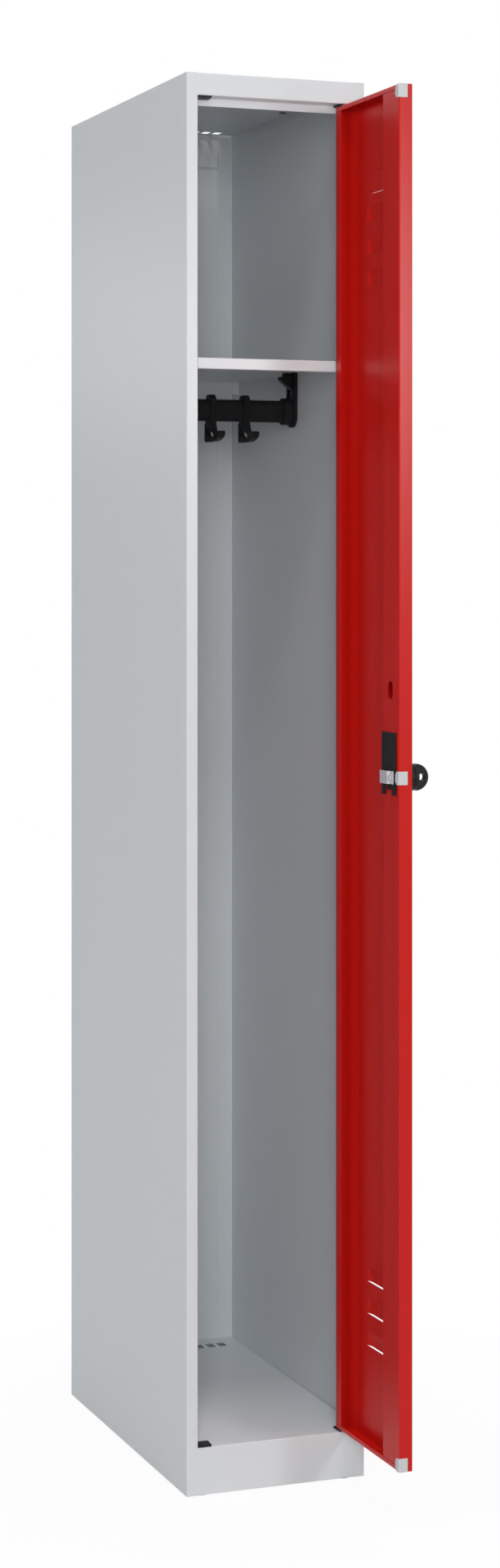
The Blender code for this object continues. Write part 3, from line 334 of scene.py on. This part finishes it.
def frame_welds():
    """Ground flush welds where the frame strips meet the header and the plinth."""
    radii = (FOLD + FLUSH, FOLD + FLUSH)
    for level, (low, high) in (("top", HEADER), ("bottom", PLINTH)):
        outline = arc((FRONT + FOLD, low + FOLD), radii, 270, 180, FOLD_STEPS)
        outline += arc((FRONT + FOLD, high - FOLD), radii, 180, 90, FOLD_STEPS)
        outline += [(FRONT + WELD_DEPTH, high + FLUSH), (FRONT + WELD_DEPTH, low - FLUSH)]
        for hand, side in (("left", -1), ("right", 1)):
            ends = [CABINET_X + side * (OPENING_HALF + reach) for reach in WELD_REACH]
            weld = drawn(outline, along_x, *sorted(ends))
            add_piece(f"frame_weld_{level}_{hand}", weld, grey, "cabinet")


def seam_beads():
    """Beads of coat along the flanges: at the rear panel, and on the walls below the roof."""
    for hand, side in (("left", -1), ("right", 1)):
        edge = CABINET_X + side * FLANGE_HALF
        near, far = edge + side * SEAT, edge - side * BEAD
        outline = [(near, FLANGE_FACE), (far, REAR_FACE), (near, REAR_FACE)]
        add_piece(f"rear_seam_{hand}", drawn(outline, along_z, *REAR_SEAM), grey, "cabinet")
        wall = CABINET_X + side * WALL_HALF
        inner = wall - side * ROOF_FLANGE_INSET
        low, high = ROOF_FLANGE_LOW - ROOF_BEAD, ROOF_FLANGE_LOW + BEAD
        outline = [(inner, high), (wall, low), (wall, high)]
        add_piece(f"roof_seam_{hand}", drawn(outline, along_y, *ROOF_SEAM), grey, "cabinet")


def dark_spots():
    """Small dark spots: a plug in the roof's underside, and painted shade of a notch in the door's upper
    return, a thin black sheet on its face.
    """
    radii = (ROOF_PLUG_RADIUS, ROOF_PLUG_RADIUS)
    outline = arc(ROOF_PLUG, radii, 0, 360 - 360 / ROOF_PLUG_SIDES, ROOF_PLUG_SIDES - 1)
    plug = drawn(outline, along_z, HEADER[1] - SHEET - ROOF_PLUG_RIM, HEADER[1] - SHEET / 2)
    add_piece("roof_plug", plug, black, "cabinet")
    # Painted shade: a thin black sheet, not a cut, stands for the shade inside the notch
    ends = (DOOR_RETURN - FLUSH, DOOR_RETURN + SHEET / 2)
    (first, last), (low, high) = DOOR_NOTCH_SHADE
    outline = [(first, low), (last, low), (last, high), (first, high)]
    add_piece("door_notch_painted_shade", drawn(outline, along_x, *ends), black, "door")


def hinge_fold():
    """Rounded inside of the door's fold beside the hinge: one curve from the wall into the skin."""
    outline = arc((DOOR_SKIN - COVE[0], DOOR_WALL - COVE[1]), COVE, 90, 0, COVE_STEPS)
    outline.append((DOOR_SKIN + FLUSH, DOOR_WALL + FLUSH))
    add_piece("door_hinge_fold", drawn(outline, along_z, *DOOR_INSIDE), matt_red, "door")


def label_lip():
    """Pressed lip on the door's outside, over the upper label slit."""
    face = DOOR_SKIN + SHEET
    near, far = LABEL_SLIT
    outline = [(face - FLUSH, near)]
    outline += [(face + rise, near - inset) for rise, inset in LIP_PROFILE]
    outline += [(face + rise, far + inset) for rise, inset in LIP_PROFILE[::-1]]
    outline.append((face - FLUSH, far))
    add_piece("label_lip", drawn(outline, along_z, *LABEL_LIP), red, "door")


frame_welds()
seam_beads()
hinge_fold()
label_lip()
dark_spots()


# Studio: each lamp's name, place, target, size, power and whether it shows in reflections
MIDDLE = (0.0, 0.0, 1.0)
DOOR_TARGET = (0.0, -0.2, 1.4)
SIDE_TARGET = (-0.13, 0.1, 1.4)
LAMPS = (
    ("front_light", (-1.403, -4.490, 1.5), MIDDLE, (0.9, 1.2), 38.0, False),
    ("front_upper_light", (-1.403, -4.490, 2.7), MIDDLE, (0.9, 1.6), 12.0, False),
    ("front_left_light", (-1.720, -4.381, 2.1), MIDDLE, (1.0, 2.0), 35.0, False),
    ("high_light", (-0.886, -2.828, 5.096), MIDDLE, (0.9, 0.9), 36.0, False),
    ("side_light", (-4.65, -0.60, 2.71), MIDDLE, (3.0, 0.9), 51.0, False),
    ("top_light", (0.0, -0.536, 5.981), MIDDLE, (0.9, 0.9), 116.0, False),
    ("right_light", (1.45, -4.03, 1.78), DOOR_TARGET, (0.5, 0.5), 29.0, True),
    ("left_rear_light", (-1.55, 4.0, 1.84), SIDE_TARGET, (0.5, 0.5), 1.4, True),
    ("right_rear_light", (2.6, 4.2, 2.6), MIDDLE, (1.5, 1.5), 97.0, False),
)
WHITE = (1.0, 1.0, 1.0, 1.0)
FLOOR_SIZE = 40.0
FLOOR_COLOUR = (0.8, 0.8, 0.8, 1.0)
FLOOR_SHADE = 0.05         # share of the floor's own shading that shows near the object
FLOOR_FADE = (0.30, 0.75)  # distances over which that share ends


def add_camera():
    """The camera, level, with the lens shift that the photograph's framing needs."""
    data = bpy.data.cameras.new("camera")
    data.lens = CAMERA_LENS
    data.shift_x, data.shift_y = CAMERA_SHIFT
    camera = bpy.data.objects.new("camera", data)
    camera.location = CAMERA_PLACE
    camera.rotation_euler = (pi / 2, 0.0, CAMERA_TURN)
    bpy.context.scene.collection.objects.link(camera)
    bpy.context.scene.camera = camera


def add_area(name, place, target, size, power, mirrored):
    """A soft light, size in width and height, that looks at a point and may show in reflections."""
    data = bpy.data.lights.new(name, "AREA")
    data.shape = "RECTANGLE"
    data.size, data.size_y = size
    data.energy = power
    light = bpy.data.objects.new(name, data)
    light.location = place
    light.rotation_euler = (Vector(target) - Vector(place)).to_track_quat("-Z", "Y").to_euler()
    light.visible_glossy = mirrored
    bpy.context.scene.collection.objects.link(light)


def seen_rays(tree):
    """1 for camera, glossy and transmission rays, 0 for the rays that carry light."""
    path = tree.nodes.new("ShaderNodeLightPath")
    value = path.outputs["Is Camera Ray"]
    for name in ("Is Glossy Ray", "Is Transmission Ray"):
        larger = tree.nodes.new("ShaderNodeMath")
        larger.operation = "MAXIMUM"
        tree.links.new(value, larger.inputs[0])
        tree.links.new(path.outputs[name], larger.inputs[1])
        value = larger.outputs["Value"]
    return value


def add_world():
    """A white background for the camera and for reflections, which lights nothing."""
    world = bpy.data.worlds.new("studio")
    bpy.context.scene.world = world
    world.use_nodes = True
    tree = world.node_tree
    white = tree.nodes["Background"]
    white.inputs["Color"].default_value = WHITE
    tree.links.new(seen_rays(tree), white.inputs["Strength"])


def add_floor():
    """Pale floor that looks white and keeps a faint share of the object's shadow, up to a distance."""
    bm = bmesh.new()
    bmesh.ops.create_grid(bm, x_segments=1, y_segments=1, size=FLOOR_SIZE)
    mesh = bpy.data.meshes.new("studio_floor")
    bm.to_mesh(mesh)
    bm.free()
    material = bpy.data.materials.new("studio_floor")
    material.use_nodes = True
    tree = material.node_tree
    tree.nodes.clear()
    output = tree.nodes.new("ShaderNodeOutputMaterial")
    diffuse = tree.nodes.new("ShaderNodeBsdfDiffuse")
    diffuse.inputs["Color"].default_value = FLOOR_COLOUR
    white = tree.nodes.new("ShaderNodeEmission")
    place = tree.nodes.new("ShaderNodeTexCoord")
    distance = tree.nodes.new("ShaderNodeVectorMath")
    distance.operation = "LENGTH"
    tree.links.new(place.outputs["Object"], distance.inputs[0])
    whiteness = tree.nodes.new("ShaderNodeMapRange")
    whiteness.inputs["From Min"].default_value, whiteness.inputs["From Max"].default_value = FLOOR_FADE
    whiteness.inputs["To Min"].default_value = 1.0 - FLOOR_SHADE
    whiteness.inputs["To Max"].default_value = 1.0
    tree.links.new(distance.outputs["Value"], whiteness.inputs["Value"])
    share = tree.nodes.new("ShaderNodeMath")
    share.operation = "MULTIPLY"
    tree.links.new(seen_rays(tree), share.inputs[0])
    tree.links.new(whiteness.outputs["Result"], share.inputs[1])
    mix = tree.nodes.new("ShaderNodeMixShader")
    tree.links.new(share.outputs["Value"], mix.inputs["Fac"])
    tree.links.new(diffuse.outputs["BSDF"], mix.inputs[1])
    tree.links.new(white.outputs["Emission"], mix.inputs[2])
    tree.links.new(mix.outputs["Shader"], output.inputs["Surface"])
    mesh.materials.append(material)
    floor = bpy.data.objects.new("studio_floor", mesh)
    bpy.context.scene.collection.objects.link(floor)


add_camera()
add_world()
add_floor()
for lamp in LAMPS:
    add_area(*lamp)

bpy.context.scene.view_settings.view_transform = "Standard"
